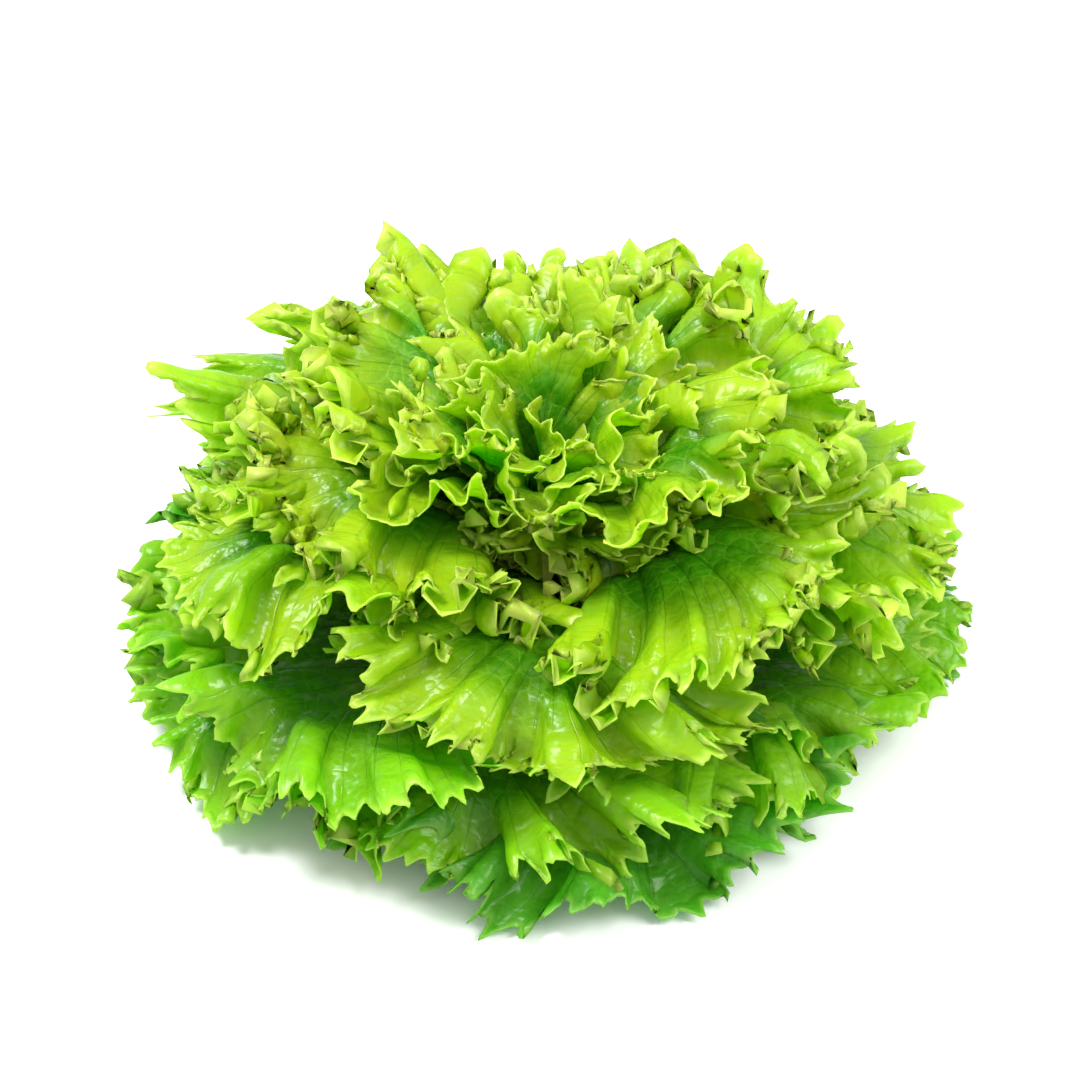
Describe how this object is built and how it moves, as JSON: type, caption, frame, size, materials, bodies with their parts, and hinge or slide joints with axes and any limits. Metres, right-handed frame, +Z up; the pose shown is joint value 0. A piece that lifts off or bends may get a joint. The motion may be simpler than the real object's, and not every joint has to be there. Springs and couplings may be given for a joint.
{
  "type": "batavia lettuce",
  "caption": "Loose head of frilled yellow-green batavia lettuce with low outer leaves, resting on its cut stem.",
  "frame": {"origin": "centre of the stem's cut face, on the surface that the head rests on", "axes": "+Z up along the stem, -Y towards the front of the head as the picture shows it, +X to its right"},
  "size_m": [0.2961, 0.3025, 0.1197],
  "materials": {
    "stem": "cream stem with a moist, slightly browned cut face",
    "outer_leaf": "green leaf, darker on the lowest leaves, soft gloss, pale veins",
    "head_leaf": "yellow-green leaf, soft gloss, lighter frilled margin, pale veins"
  },
  "bodies": {
    "root": {"stem": "stem", "outer_leaves": "outer_leaf", "head_leaves": "head_leaf"}
  },
  "joints": []
}
